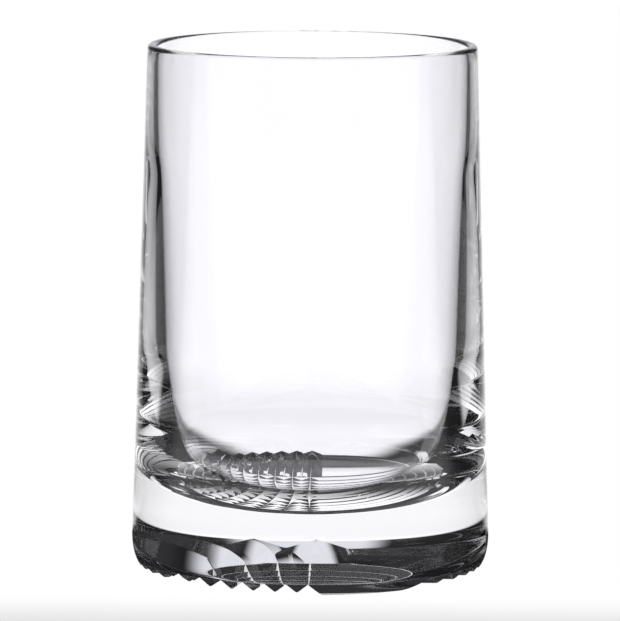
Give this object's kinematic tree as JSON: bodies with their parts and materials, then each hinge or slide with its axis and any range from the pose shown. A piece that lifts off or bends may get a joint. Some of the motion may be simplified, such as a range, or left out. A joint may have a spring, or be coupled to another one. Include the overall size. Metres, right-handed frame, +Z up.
{
  "type": "whiskey tumbler",
  "caption": "Tapered clear crystal whiskey tumbler with a thick solid base cut underneath with two crossing sets of V-shaped grooves, for holding a drink.",
  "frame": {"origin": "centre of the plane that the glass stands on, under the axis of the bowl", "axes": "+Z up along the axis of the glass, -Y to the front, and X and Y along the two crossing sets of grooves, with the plain quarter of the base between +X and +Y"},
  "size_m": [0.08, 0.08, 0.1172],
  "materials": {
    "crystal": "clear colourless crystal, polished all over, with polished cuts underneath"
  },
  "bodies": {
    "root": {"rim": "crystal", "side_wall": "crystal", "lower_wall": "crystal", "floor_ring": "crystal", "base": "crystal", "ridges_front_left": "crystal", "ridges_front_right": "crystal", "ridges_back_left": "crystal", "foot_back_right": "crystal"}
  },
  "joints": []
}
